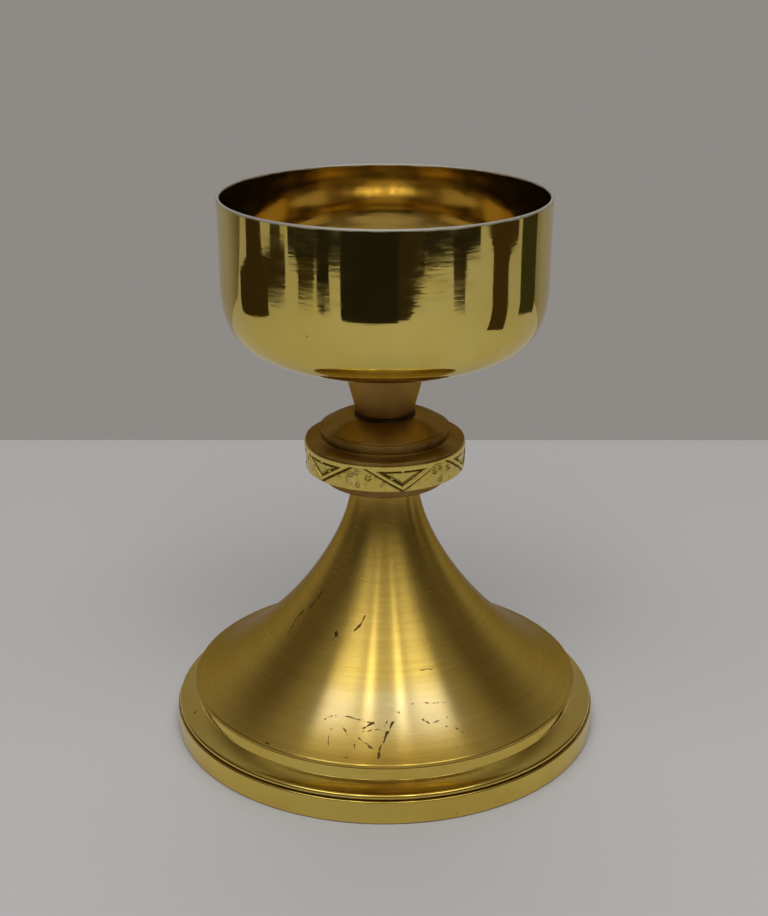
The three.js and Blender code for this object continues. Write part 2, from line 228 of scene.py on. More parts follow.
def about_axis(ring):
    """Points round the axis from the front on, given as (radius, height) for each direction."""
    angles = [FULL * k / len(ring) for k in range(len(ring))]
    return [(r * math.sin(a), -r * math.cos(a), z) for a, (r, z) in zip(angles, ring)]


def stacked(levels):
    """The vertices of all levels, and each level as a ring of vertex numbers."""
    vertices, rings = [], []
    for points in levels:
        rings.append(list(range(len(vertices), len(vertices) + len(points))))
        vertices += points
    return vertices, rings


def skin(rings, closed=True):
    """Faces from each ring to the next. A ring of one number is a point on the axis."""
    faces = []
    for here, after in zip(rings, rings[1:] + rings[:1] if closed else rings[1:]):
        sides = max(len(here), len(after))
        for k in range(sides if sides > 1 else 0):
            n = (k + 1) % sides
            corners = [here[k % len(here)], here[n % len(here)], after[n % len(after)], after[k % len(after)]]
            faces.append([c for j, c in enumerate(corners) if c != corners[j - 1]])
    return faces


def turned_mesh(section, sides):
    """Vertices and faces of a closed half section swept about the axis."""
    points = without_repeats(section)
    if area_of(points) < 0:
        points.reverse()
    levels = [[(0.0, 0.0, z)] if r < 1e-6 else about_axis([(r, z)] * sides) for r, z in points]
    vertices, rings = stacked(levels)
    return vertices, skin(rings)


def faces_axis(centre, normal):
    out = Vector((centre.x, centre.y, 0)).normalized()
    return normal.dot(out) < -0.2 or normal.z < -0.2


def faces_hollow(centre, normal):
    out = Vector((centre.x, centre.y, 0)).normalized()
    return centre.z < RIM - 0.5 and (normal.dot(out) < 0 or normal.z > 0.3)


def turned(name, section, sides, body, materials, node, edge=0.1, inner=None):
    """A turned or spun piece that stands for one CAD node."""
    points = guarded(softened(section, edge))
    placed(mesh_object(name, *turned_mesh(points, sides), materials, inner), body, node)


def sharp_piece(name, vertices, faces, material, sharp, body, node):
    """A piece whose edges stay sharp where its faces turn by more than an angle in degrees."""
    made = mesh_object(name, vertices, faces, [material])
    made.data.set_sharp_from_angle(angle=math.radians(sharp))
    placed(made, body, node)


def placed(made, body, node):
    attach(made, body)
    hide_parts(node)


# Node trees

class Nodes:
    """A node tree, with short calls for the nodes that this scene uses."""

    def __init__(self, tree):
        self.tree = tree

    def add(self, kind, **settings):
        made = self.tree.nodes.new(kind)
        for name, value in settings.items():
            setattr(made, name, value)
        return made

    def feed(self, socket, value):
        if isinstance(value, bpy.types.NodeSocket):
            self.tree.links.new(value, socket)
        else:
            socket.default_value = value

    def math(self, operation, *values):
        made = self.add("ShaderNodeMath", operation=operation)
        for socket, value in zip(made.inputs, values):
            self.feed(socket, value)
        return made.outputs[0]

    def clamped(self, value):
        made = self.add("ShaderNodeClamp")
        self.feed(made.inputs["Value"], value)
        return made.outputs[0]

    def vector(self, operation, *values):
        made = self.add("ShaderNodeVectorMath", operation=operation)
        for socket, value in zip(made.inputs, values):
            self.feed(socket, value)
        return made.outputs["Value" if operation in ("LENGTH", "DISTANCE", "DOT_PRODUCT") else "Vector"]

    def scaled(self, vector, factor):
        made = self.add("ShaderNodeVectorMath", operation="SCALE")
        self.feed(made.inputs[0], vector)
        self.feed(made.inputs["Scale"], factor)
        return made.outputs[0]

    def split(self, vector):
        made = self.add("ShaderNodeSeparateXYZ")
        self.feed(made.inputs[0], vector)
        return made.outputs

    def join(self, *values):
        made = self.add("ShaderNodeCombineXYZ")
        for socket, value in zip(made.inputs, values):
            self.feed(socket, value)
        return made.outputs[0]

    def noise(self, vector, scale, detail=3.0, roughness=0.55):
        made = self.add("ShaderNodeTexNoise")
        given = {"Vector": vector, "Scale": scale, "Detail": detail, "Roughness": roughness}
        for socket, value in given.items():
            self.feed(made.inputs[socket], value)
        return made.outputs[0]

    def cells(self, vector, scale):
        """Distance to the nearest of scattered points, and a random shade for each."""
        made = self.add("ShaderNodeTexVoronoi")
        self.feed(made.inputs["Vector"], vector)
        self.feed(made.inputs["Scale"], scale)
        return made.outputs["Distance"], made.outputs["Color"]

    def between(self, value, low, high, start=0.0, end=1.0):
        """Smoothly from start, where the value is low, to end, where it is high."""
        made = self.add("ShaderNodeMapRange", interpolation_type="SMOOTHSTEP")
        for socket, given in zip(made.inputs, (value, low, high, start, end)):
            self.feed(socket, given)
        return made.outputs[0]

    def mix(self, share, first, second):
        made = self.add("ShaderNodeMix", data_type="RGBA")
        self.feed(made.inputs["Factor"], share)
        self.feed(made.inputs[6], first if isinstance(first, bpy.types.NodeSocket) else (*first, 1.0))
        self.feed(made.inputs[7], second if isinstance(second, bpy.types.NodeSocket) else (*second, 1.0))
        return made.outputs[2]


class Shade(Nodes):
    """The material of one metal or leather, which knows where on a turned piece a point lies."""

    def __init__(self, name, **constants):
        self.material = bpy.data.materials.new(name)
        self.material.use_nodes = True
        super().__init__(self.material.node_tree)
        self.shader = self.tree.nodes["Principled BSDF"]
        for socket, value in constants.items():
            self.shader.inputs[socket.replace("_", " ")].default_value = value
        self.place = self.add("ShaderNodeTexCoord").outputs["Object"]
        x, y, self.height = self.split(self.place)
        squares = self.math("ADD", self.math("MULTIPLY", x, x), self.math("MULTIPLY", y, y))
        self.radius = self.math("SQRT", squares)
        self.round = self.vector("DIVIDE", self.join(x, y, 0.0), self.join(self.radius, self.radius, 1.0))

    def along(self, slope):
        """A measure that grows along the outline of a turned piece, in metres."""
        return self.math("ADD", self.height, self.math("MULTIPLY", self.radius, slope))

    def rings(self, slope, spacing, spread=2.0, detail=2.0):
        """Fine lines left by turning, each with an uneven strength round the piece."""
        run = self.math("MULTIPLY", self.along(slope), 1 / (spacing * MM))
        place = self.vector("ADD", self.scaled(self.round, spread), self.join(0.0, 0.0, run))
        return self.noise(place, 1.0, detail)

    def near(self, value, middle, width):
        """1 where a value in metres is at the middle, and 0 from a width away, both in millimetres."""
        gap = self.math("ABSOLUTE", self.math("SUBTRACT", value, middle * MM))
        return self.between(gap, 0.0, width * MM, 1.0, 0.0)

    def turned_tangent(self):
        tangent = self.add("ShaderNodeTangent", direction_type="RADIAL", axis="Z")
        self.tree.links.new(tangent.outputs[0], self.shader.inputs["Tangent"])

    def bump(self, height, depth, strength=1.0, before=None):
        """Relief of a depth in millimetres."""
        made = self.add("ShaderNodeBump")
        made.inputs["Strength"].default_value = strength
        made.inputs["Distance"].default_value = depth * MM
        self.feed(made.inputs["Height"], height)
        if before is not None:
            self.feed(made.inputs["Normal"], before)
        return made.outputs[0]

    def finish(self, colour, roughness, normal=None):
        self.feed(self.shader.inputs["Base Color"], colour)
        self.feed(self.shader.inputs["Roughness"], roughness)
        if normal is not None:
            self.feed(self.shader.inputs["Normal"], normal)
        return self.material


# Colours of the metals, as linear light
GOLD = (0.75, 0.57, 0.13)
GOLD_DEEP = (0.72, 0.50, 0.10)
GOLD_PALE = (0.79, 0.63, 0.18)
WORN_SILVER = (0.54, 0.52, 0.46)
TARNISH = (0.20, 0.11, 0.035)
DARK_TARNISH = (0.07, 0.035, 0.012)
MARK_BROWN = (0.090, 0.047, 0.014)
EDGE_TINT = (0.66, 0.55, 0.37)
CONE_EDGE = (0.47, 0.38, 0.25)
BRONZE = (0.42, 0.262, 0.082)
BRONZE_DEEP = (0.34, 0.195, 0.056)
BRASS = (0.62, 0.45, 0.17)
BRASS_DULL = (0.42, 0.29, 0.11)
STEEL = (0.42, 0.42, 0.41)
STEEL_DULL = (0.34, 0.34, 0.33)
LEATHER = (0.090, 0.055, 0.030)
LEATHER_DARK = (0.055, 0.034, 0.020)
# Paler copies of the gilding for the cup's inside: painted light that makes up for the light its repeated
# reflections lose
LIT_WITHIN = (0.95, 0.80, 0.43)
LIT_WITHIN_DEEP = (0.93, 0.76, 0.37)
CONE_GOLD = (0.77, 0.55, 0.115)
CONE_DEEP = (0.72, 0.485, 0.092)
CONE_LINES = (0.62, 0.42, 0.12)
# Painted shade of the cone towards its neck
CONE_NECK_SHADE = (0.56, 0.33, 0.055)
# Pale patch low on the front of the cone: worn gilding and a painted highlight
CONE_WEAR_AND_HIGHLIGHT = (0.88, 0.75, 0.44)
COLLAR = (0.38, 0.222, 0.056)
COLLAR_DEEP = (0.33, 0.183, 0.043)


def cup_finish(name, first, second, smooth, dull):
    """Mirror polish with faint turning lines, soft smears and a lip worn to silver."""
    s = Shade(name, Metallic=1.0)
    cloud = s.noise(s.place, 38.0, 3.0)
    smear = s.noise(s.vector("MULTIPLY", s.place, (1.0, 1.0, 2.2)), 160.0, 4.0)
    colour = s.mix(s.between(cloud, 0.35, 0.7), first, second)
    specks, shade = s.cells(s.place, 420.0)
    rare = s.between(s.split(shade)[0], 0.93, 0.97)
    dots = s.math("MULTIPLY", s.between(specks, 0.05, 0.16, 1.0, 0.0), rare)
    colour = s.mix(s.math("MULTIPLY", dots, 0.7), colour, TARNISH)
    uneven = s.math("ADD", s.height, s.math("MULTIPLY", smear, 0.0006))
    lip = s.between(uneven, (RIM - 0.42) * MM, (RIM - 0.02) * MM)
    colour = s.mix(lip, colour, WORN_SILVER)
    rings = s.rings(1.0, 0.5, 1.2)
    roughness = s.math("ADD", s.between(smear, 0.35, 0.75, smooth, dull), s.math("MULTIPLY", lip, 0.40))
    roughness = s.math("ADD", roughness, s.math("MULTIPLY", dots, 0.3))
    s.feed(s.shader.inputs["Metallic"], s.math("SUBTRACT", 1.0, s.math("MULTIPLY", lip, 0.4)))
    waves = s.noise(s.place, 60.0, 2.0)
    normal = s.bump(waves, 0.05, 0.26)
    ripples = s.noise(s.vector("MULTIPLY", s.place, (1.0, 1.0, 5.0)), 170.0, 2.0)
    normal = s.bump(ripples, 0.05, 0.08, normal)
    normal = s.bump(rings, 0.0015, 0.20, normal)
    return s.finish(colour, roughness, normal)


def inside_finish():
    """The raw inside of the spun foot, duller and never gilt as carefully."""
    s = Shade("spun_inside", Metallic=1.0)
    cloud = s.noise(s.place, 55.0, 5.0, 0.65)
    rings = s.rings(-1.0, 0.9, 1.5, 3.0)
    colour = s.mix(s.between(cloud, 0.35, 0.68), BRASS_DULL, BRASS)
    colour = s.mix(s.between(rings, 0.55, 0.75, 0.0, 0.5), colour, TARNISH)
    roughness = s.between(cloud, 0.3, 0.7, 0.5, 0.34)
    return s.finish(colour, roughness, s.bump(rings, 0.05, 0.5))


# Heights of the foot's two creases, which get tarnish and painted shade
CREASES = (CONE_SEAT + 0.1, BAND_TOP + 0.12)


def foot_finish():
    """Polished gilding with tarnish and painted shade in the creases, small pits and a few knocks."""
    s = Shade("polished_foot", Metallic=1.0)
    cloud = s.noise(s.place, 42.0, 4.0)
    fine = s.noise(s.place, 520.0, 3.0)
    colour = s.mix(s.between(cloud, 0.35, 0.7), GOLD, GOLD_DEEP)
    pits, shade = s.cells(s.place, 260.0)
    rare = s.between(s.split(shade)[0], 0.86, 0.92)
    dots = s.math("MULTIPLY", s.between(pits, 0.04, 0.17, 1.0, 0.0), rare)
    # Tarnish and painted shade along the creases of the foot
    tarnish_and_shade = None
    for height in CREASES:
        here = s.near(s.height, height, 0.32)
        tarnish_and_shade = here if tarnish_and_shade is None else s.math("MAXIMUM", tarnish_and_shade, here)
    tarnish_and_shade = s.math("MULTIPLY", tarnish_and_shade, s.between(fine, 0.25, 0.6, 0.55, 1.0))
    colour = s.mix(s.math("MULTIPLY", s.math("MAXIMUM", dots, tarnish_and_shade), 0.85), colour, DARK_TARNISH)
    rings = s.rings(-1.0, 0.35, 1.4)
    scuffs = s.noise(s.vector("MULTIPLY", s.place, (1.0, 1.0, 3.0)), 240.0, 5.0, 0.65)
    roughness = s.math("ADD", s.between(scuffs, 0.4, 0.75, 0.09, 0.19), s.math("MULTIPLY", tarnish_and_shade, 0.35))
    normal = s.bump(s.noise(s.place, 95.0, 2.0), 0.05, 0.25)
    normal = s.bump(rings, 0.006, 0.30, normal)
    normal = s.bump(s.math("MAXIMUM", dots, tarnish_and_shade), -0.05, 0.5, normal)
    return s.finish(colour, roughness, normal)


# Wear marks of the cone: half width, then points as degrees to the right of the front and height
MARKS = (
    (0.38, ((-55.5, 44.7), (-56.2, 42.8), (-59.3, 39.7))),
    (0.34, ((-62.5, 38.2), (-64.0, 35.8), (-61.8, 32.2))),
    (0.13, ((-60.0, 28.9), (-57.7, 26.9))),
    (0.12, ((-75.2, 29.8), (-79.8, 24.7))),
    (0.60, ((-30.6, 36.9), (-29.2, 36.5))),
    (0.33, ((-14.0, 41.8), (-14.8, 40.1), (-18.8, 38.2))),
    (0.20, ((-22.5, 19.8), (-20.0, 20.9), (-16.2, 21.5), (-10.0, 21.1), (-3.7, 20.4))),
    (0.28, ((-7.5, 19.7), (-3.5, 20.6))),
    (0.22, ((-7.0, 19.2), (-1.8, 19.5))),
    (0.20, ((-1.2, 19.3), (0.5, 20.9), (5.2, 22.3))),
    (0.38, ((2.8, 20.7), (0.2, 18.6), (-1.2, 16.7), (-1.8, 15.3))),
    (0.14, ((11.2, 30.4), (26.3, 29.4))),
    (0.14, ((10.5, 23.7), (24.5, 23.0))),
    (0.27, ((13.5, 20.9), (15.2, 20.1), (19.2, 20.3))),
    (0.25, ((21.0, 19.1), (22.5, 19.3))),
    (0.28, ((24.2, 18.5), (25.5, 17.7))),
    (0.14, ((-18.0, 19.0), (-17.8, 16.5))),
    (0.20, ((-14.0, 19.3), (-11.0, 17.6))),
    (0.18, ((-9.2, 17.1), (-9.0, 16.1))),
    (0.20, ((-8.0, 18.1), (-3.7, 16.5))),
    (0.16, ((-12.5, 15.4), (-9.2, 14.8))),
    (0.14, ((1.0, 23.7), (3.7, 24.1))),
    (0.35, ((-36.5, 14.7), (-34.8, 14.6))),
)


def cone_profile():
    """The cone's outside, from the hem up to the neck."""
    slope = math.radians(HEM_SLOPE)
    hem = (HEM_R - HEM_ROUND, CONE_SEAT + HEM_ROUND)
    top = (hem[0] + HEM_ROUND * math.sin(slope), hem[1] + HEM_ROUND * math.cos(slope))
    pulled = (top[0] - HEM_PULL * math.cos(slope), top[1] + HEM_PULL * math.sin(slope))
    neck = (NECK_R, NECK_TOP - NECK_LENGTH)
    return hem, [top, pulled, (neck[0], neck[1] - NECK_PULL), neck]


def cone_radius(height):
    points = bezier(cone_profile()[1], 200)
    for a, b in zip(points, points[1:]):
        if a[1] <= height <= b[1]:
            return a[0] + (b[0] - a[0]) * (height - a[1]) / (b[1] - a[1])
    return points[0][0] if height < points[0][1] else points[-1][0]


def on_cone(degrees, height):
    radius, angle = cone_radius(height), math.radians(degrees)
    return Vector((radius * math.sin(angle), -radius * math.cos(angle), height)) * MM


def mark_distance(s, place):
    """Distance to the nearest wear mark, less that mark's half width."""
    nearest = None
    for half, corners in MARKS:
        for (a0, z0), (a1, z1) in zip(corners, corners[1:]):
            parts = max(1, math.ceil((on_cone(a0, z0) - on_cone(a1, z1)).length / (5 * MM)))
            for i in range(parts):
                start = on_cone(a0 + (a1 - a0) * i / parts, z0 + (z1 - z0) * i / parts)
                end = on_cone(a0 + (a1 - a0) * (i + 1) / parts, z0 + (z1 - z0) * (i + 1) / parts)
                line = end - start
                away = s.vector("SUBTRACT", place, tuple(start))
                share = s.clamped(s.vector("DOT_PRODUCT", away, tuple(line / line.length_squared)))
                gap = s.vector("DISTANCE", away, s.scaled(tuple(line), share))
                gap = s.math("SUBTRACT", gap, half * MM)
                nearest = gap if nearest is None else s.math("MINIMUM", nearest, gap)
    return nearest


def cone_finish():
    """Brushed round the axis under a thin lacquer, with dark worn marks, pits, painted shade under the hem
    and at the neck, and a painted highlight on the front.
    """
    s = Shade("brushed_cone", Metallic=1.0, Anisotropic=0.94, Anisotropic_Rotation=0.25,
              Coat_Weight=0.22, Coat_Roughness=0.30, Specular_Tint=(*CONE_EDGE, 1.0))
    s.turned_tangent()
    fine = s.rings(-1.0, 0.16, 2.2, 3.0)
    broad = s.rings(-1.0, 1.3, 0.8, 2.0)
    colour = s.mix(s.between(broad, 0.3, 0.7), CONE_GOLD, CONE_DEEP)
    colour = s.mix(s.between(fine, 0.52, 0.8, 0.0, 0.15), colour, CONE_LINES)
    # Painted shade: darker and more orange towards the neck
    colour = s.mix(s.between(s.height, 0.050, 0.071, 0.0, 0.75), colour, CONE_NECK_SHADE)
    # Painted highlight: a pale, whitish patch low on the front of the cone stands for the lamps' glow in the
    # lacquer, together with gilding worn where the cup is held
    from_below = s.between(s.height, 0.015, 0.021)
    wear_and_highlight = s.math("MULTIPLY", from_below, s.between(s.height, 0.023, 0.030, 1.0, 0.0))
    to_front = s.vector("DOT_PRODUCT", s.round, (0.0, -1.0, 0.0))
    wear_and_highlight = s.math("MULTIPLY", wear_and_highlight, s.between(to_front, 0.84, 0.95))
    wear_and_highlight = s.math("MULTIPLY", wear_and_highlight, s.between(s.noise(s.place, 34.0, 2.0), 0.30, 0.60, 0.25, 0.60))
    colour = s.mix(wear_and_highlight, colour, CONE_WEAR_AND_HIGHLIGHT)
    grit = s.noise(s.place, 900.0, 3.0, 0.6)
    warped = s.vector("ADD", s.place, s.scaled(s.vector("SUBTRACT", s.join(
        s.noise(s.place, 300.0), s.noise(s.vector("ADD", s.place, (0.4, 0.2, 0.1)), 300.0),
        s.noise(s.vector("ADD", s.place, (0.1, 0.7, 0.3)), 300.0)), (0.5, 0.5, 0.5)), 0.0016))
    gap = s.math("ADD", mark_distance(s, warped), s.between(grit, 0.36, 0.60, 0.00030, 0.0))
    mark = s.between(gap, -0.00004, 0.00008, 1.0, 0.0)
    pits, shade = s.cells(s.place, 170.0)
    rare = s.between(s.split(shade)[0], 0.90, 0.94)
    dots = s.math("MULTIPLY", s.between(pits, 0.02, 0.075, 1.0, 0.0), rare)
    small, small_shade = s.cells(s.place, 520.0)
    small_rare = s.between(s.split(small_shade)[1], 0.93, 0.96)
    dots = s.math("MAXIMUM", dots, s.math("MULTIPLY", s.between(small, 0.03, 0.12, 1.0, 0.0), small_rare))
    wear_and_shade = s.math("MAXIMUM", s.math("MULTIPLY", mark, 0.88), s.math("MULTIPLY", dots, 0.70))
    # Painted shade: a dark band on the underside of the hem, where it meets the foot
    hem_shade = s.between(s.height, (CONE_SEAT + 0.28) * MM, (CONE_SEAT + 0.50) * MM, 1.0, 0.0)
    wear_and_shade = s.math("MAXIMUM", wear_and_shade, s.math("MULTIPLY", hem_shade, 0.85))
    colour = s.mix(wear_and_shade, colour, MARK_BROWN)
    roughness = s.math("ADD", s.between(fine, 0.25, 0.75, 0.245, 0.275), s.math("MULTIPLY", wear_and_shade, 0.3))
    normal = s.bump(fine, 0.007, 0.25)
    normal = s.bump(wear_and_shade, -0.06, 0.5, normal)
    return s.finish(colour, roughness, normal)


def satin_finish(name, first, second, roughness, sideways, slope=-1.0):
    """Satin turned metal: fine rings, a slow change of tone and a few pits."""
    s = Shade(name, Metallic=1.0, Anisotropic=sideways, Anisotropic_Rotation=0.25,
              Specular_Tint=(*EDGE_TINT, 1.0))
    s.turned_tangent()
    fine = s.rings(slope, 0.14, 2.0, 3.0)
    cloud = s.noise(s.place, 120.0, 4.0)
    colour = s.mix(s.between(cloud, 0.3, 0.7), first, second)
    pits, shade = s.cells(s.place, 330.0)
    rare = s.between(s.split(shade)[0], 0.90, 0.94)
    dots = s.math("MULTIPLY", s.between(pits, 0.03, 0.12, 1.0, 0.0), rare)
    colour = s.mix(s.math("MULTIPLY", dots, 0.8), colour, DARK_TARNISH)
    rough = s.between(fine, 0.25, 0.75, roughness - 0.03, roughness + 0.03)
    rough = s.math("ADD", rough, s.math("MULTIPLY", dots, 0.2))
    normal = s.bump(fine, 0.010, 0.35)
    return s.finish(colour, rough, s.bump(dots, -0.05, 0.5, normal))


def band_finish():
    """Cast and polished, with dark colour left in everything that lies low."""
    s = Shade("bright_band", Metallic=1.0)
    low = s.between(s.radius, (RING_R - 0.56) * MM, (RING_R - 0.40) * MM, 1.0, 0.0)
    grain = s.noise(s.place, 700.0, 4.0, 0.6)
    cloud = s.noise(s.place, 210.0, 4.0)
    colour = s.mix(s.between(cloud, 0.35, 0.7), GOLD, GOLD_PALE)
    ground = s.between(s.radius, (RING_R - 0.36) * MM, (RING_R - 0.10) * MM, 1.0, 0.0)
    fleck = s.math("MULTIPLY", ground, s.between(grain, 0.5, 0.72))
    colour = s.mix(s.math("MULTIPLY", fleck, 0.55), colour, TARNISH)
    colour = s.mix(s.math("MULTIPLY", low, s.between(grain, 0.25, 0.6, 0.60, 0.88)), colour, MARK_BROWN)
    roughness = s.math("ADD", s.between(cloud, 0.3, 0.7, 0.16, 0.24), s.math("MULTIPLY", low, 0.35))
    roughness = s.math("ADD", roughness, s.math("MULTIPLY", ground, 0.08))
    normal = s.bump(s.math("MULTIPLY", grain, ground), 0.05, 0.5)
    return s.finish(colour, roughness, normal)


def leather_finish():
    """Pressed hide, nearly black with handling."""
    s = Shade("leather_washer", Metallic=0.0)
    cells, _ = s.cells(s.place, 1500.0)
    grain = s.noise(s.place, 900.0, 4.0)
    colour = s.mix(s.between(grain, 0.3, 0.7), LEATHER, LEATHER_DARK)
    roughness = s.between(grain, 0.3, 0.7, 0.6, 0.8)
    return s.finish(colour, roughness, s.bump(cells, 0.012, 0.4))


gilt = cup_finish("gilt_cup", GOLD, GOLD_PALE, 0.035, 0.085)
# The cup's inside takes the paler copy of the gilding, painted light for its repeated reflections
gilt_within_lit = cup_finish("gilt_within_lit", LIT_WITHIN, LIT_WITHIN_DEEP, 0.055, 0.105)
raw_inside = inside_finish()
polished = foot_finish()
brushed = cone_finish()
satin = satin_finish("satin_knop", BRONZE, BRONZE_DEEP, 0.31, 1.0)
satin_collar = satin_finish("satin_collar", COLLAR, COLLAR_DEEP, 0.32, 0.82, 2.0)
bright = band_finish()
brass = satin_finish("turned_brass", BRASS, BRASS_DULL, 0.30, 0.4)
steel = satin_finish("steel", STEEL, STEEL_DULL, 0.36, 0.3)
leather = leather_finish()


# Foot

def foot_band():
    inner = BAND_R - BAND_WALL
    turned("foot_ring", [
        (inner, GROUND),
        *arc((BAND_R - BAND_ROUND, GROUND + BAND_ROUND), BAND_ROUND, -90, 0, 8),
        *arc((BAND_R - BAND_ROUND, BAND_TOP - BAND_ROUND), BAND_ROUND, 0, 90, 8),
        (inner, BAND_TOP),
    ], 256, "base", [polished, raw_inside], "foot_band", 0.2, faces_axis)


def foot_cover():
    nose = (COVER_R - NOSE_ROUND, BAND_TOP + NOSE_ROUND)
    end = math.radians(NOSE_END)
    nose_top = (nose[0] + NOSE_ROUND * math.cos(end), nose[1] + NOSE_ROUND * math.sin(end))
    step_foot = (nose_top[0] - SLOPE_WIDTH, CONE_SEAT - STEP_HEIGHT)
    step_top = (step_foot[0] - 0.7, CONE_SEAT)
    hollow = ((nose_top[0] + step_foot[0]) / 2, (nose_top[1] + step_foot[1]) / 2 - 0.6)
    inside = nose[0] - SHEET
    turned("foot_moulding", [
        (inside, BAND_TOP),
        *arc(nose, NOSE_ROUND, -90, NOSE_END, 14),
        *bezier([nose_top, hollow, step_foot], 12)[1:],
        step_top,
        (step_top[0] - 2.6, CONE_SEAT),
        (step_top[0] - 2.6, CONE_SEAT - SHEET),
        (step_top[0] - SHEET, CONE_SEAT - SHEET),
        (step_foot[0] - SHEET, step_foot[1] - SHEET),
        (inside, nose_top[1] - SHEET),
    ], 256, "base", [polished, raw_inside], "foot_cover", 0.16, faces_axis)


def cone():
    hem, handles = cone_profile()
    outside = bezier(handles, 90)
    within = [p for p in reversed(offset(outside, SHEET)) if p[0] < hem[0] - HEM_WIDTH]
    turned("cone", [
        (hem[0] - HEM_WIDTH, CONE_SEAT),
        *arc(hem, HEM_ROUND, -90, 90 - HEM_SLOPE, 14),
        *outside[1:],
        (NECK_R, NECK_TOP),
        (KNOP_BORE, NECK_TOP),
        (KNOP_BORE, NECK_TOP - SHEET),
        (NECK_R - SHEET, NECK_TOP - SHEET),
        *within,
    ], 256, "base", [brushed, raw_inside], "cone_shell", 0.12, faces_axis)


# Knop

def lower_plate():
    socket, rounding = NECK_R + SLIP, 0.9
    turned("knop_under", [
        (socket, PLATE_BOTTOM),
        *arc((PLATE_R - rounding, PLATE_BOTTOM + rounding), rounding, -90, 0, 10),
        (PLATE_R, RING_SEAT),
        (KNOP_BORE, RING_SEAT),
        (KNOP_BORE, NECK_TOP),
        (socket, NECK_TOP),
    ], 192, "base", [satin], "knop_lower_plate", 0.12)


def flange():
    edge, rim_top = 0.3, FLANGE_SEAT + FLANGE_RIM
    start, end = (FLANGE_R - 2 * edge, rim_top + edge / 2), (DOME_R - SLIP, DOME_SEAT)
    turned("knop_disc", [
        (KNOP_BORE, FLANGE_SEAT),
        *arc((FLANGE_R - edge, FLANGE_SEAT + edge), edge, -90, 0, 8),
        (FLANGE_R, rim_top),
        *bezier([start, (end[0] + edge, start[1]), end], 14),
        (KNOP_BORE, DOME_SEAT),
    ], 192, "base", [satin], "knop_flange", 0.18)


def dome():
    rounding = 0.5
    corner = (DOME_R - rounding, DOME_SEAT + 2.1)
    flat = (8.8, DOME_TOP)
    start = (corner[0], corner[1] + rounding)
    middle = ((start[0] + flat[0]) / 2, (start[1] + flat[1]) / 2 + 1.5)
    groove = corner[0] - 0.25
    top = bezier([start, middle, flat], 240)
    top = [(r, z - 0.17 * math.exp(-(((r - groove) / 0.13) ** 2))) for r, z in top]
    top = [p for i, p in enumerate(top) if abs(p[0] - groove) < 0.5 or i % 8 == 0]
    turned("knop_cap", [
        (KNOP_BORE, DOME_SEAT),
        (DOME_R - SLIP, DOME_SEAT),
        *arc(corner, rounding, 0, 90, 10),
        *top[1:],
        (NUT_R + SLIP, DOME_TOP),
        (NUT_R + SLIP, NUT_SEAT),
        (KNOP_BORE, NUT_SEAT),
    ], 192, "base", [satin], "knop_dome", 0.12)


def core():
    rod, stud, spigot = ROD_R + SLIP, STUD_R + SLIP, 5.8
    bore_end = STUD_TIP - 0.8
    turned("knop_heart", [
        (0, bore_end), (stud, bore_end), (stud, CORE_TOP - 0.5), (stud + 0.5, CORE_TOP), (spigot, CORE_TOP),
        (spigot, FLANGE_SEAT), (CORE_R, FLANGE_SEAT), (CORE_R, RING_SEAT), (spigot, RING_SEAT),
        (spigot, CORE_BOTTOM), (rod, CORE_BOTTOM), (rod, ROD_TOP + 0.8), (0, ROD_TOP + 0.8),
    ], 96, "base", [brass], "knop_core")


# Ornament of the band: directions of the triangles, and of the plain ground between them

TURNS = np.radians([12.6, 75.0, 133.6, 192.3, 251.0, 309.6])
GAPS = (TURNS + np.roll(TURNS, -1) + np.where(np.roll(TURNS, -1) < TURNS, FULL, 0)) / 2
# A triangle's half width as an angle, its height, and its frame at the sides and at the top
HALF_ANGLE = 29.2
DROP = 6.8
BORDER = 0.95
HEAD = 1.4
# Height of all frames over the ground, and width of the strip at the upper edge
RELIEF = 0.35
RIM_STRIP = 0.8
# Beads in a triangle: sideways place and depth
BEADS = ((0.0, 1.5), (-3.0, 3.45), (3.0, 3.45))
# Small rings punched into the plain ground: sideways place, depth, size
PUNCHED = ((-2.4, 2.75, 0.50), (-0.6, 1.95, 0.46), (2.8, 3.10, 0.52), (-0.2, 5.55, 0.30))


def step(value, width=0.09):
    """0 below zero and 1 above it, with a soft edge of that half width."""
    t = np.clip((value + width) / (2 * width), 0, 1)
    return t * t * (3 - 2 * t)


def hump(value, width):
    return np.exp(-((value / width) ** 2))


def sideways(angle, centres):
    """Distance round the band from the nearest of the centres."""
    away = np.mod(angle[..., None] - centres + math.pi, FULL) - math.pi
    nearest = np.take_along_axis(away, np.abs(away).argmin(-1)[..., None], -1)[..., 0]
    return RING_R * np.sin(nearest)


def ornament(angle, depth):
    """Height over the ground at angles in radians and depths below the band's top."""
    spread = RING_R * math.sin(math.radians(HALF_ANGLE)) / DROP
    x = sideways(angle, TURNS)
    side = ((DROP - depth) * spread - np.abs(x)) / math.hypot(1, spread)
    inner = np.minimum(side - BORDER, depth - HEAD)
    rim = step(RIM_STRIP - depth)
    height = RELIEF * np.maximum(step(side) * (1 - step(inner)), rim)
    height -= 0.24 * step(side + 0.46) * (1 - step(side)) * (1 - rim)
    height -= 0.26 * step(inner) * (1 - step(inner - 0.56))
    height += 0.05 * step(inner - 0.56) + 0.10 * hump(inner - 0.74, 0.12)
    for bead_x, bead_depth in BEADS:
        away = np.hypot(x - bead_x, depth - bead_depth) / 0.46
        bead = 0.30 * np.sqrt(np.clip(1 - away**2, 0, 1))
        height = np.where(away < 1, np.maximum(height, bead), height)
    x = sideways(angle, GAPS)
    for ring_x, ring_depth, size in PUNCHED:
        away = np.hypot(x - ring_x, depth - ring_depth)
        height += 0.16 * hump(away - size, 0.14) - 0.20 * hump(away, 0.45 * size)
        height -= 0.14 * hump(away - size - 0.27, 0.12) * (1 - step(side + 0.3))
    return height


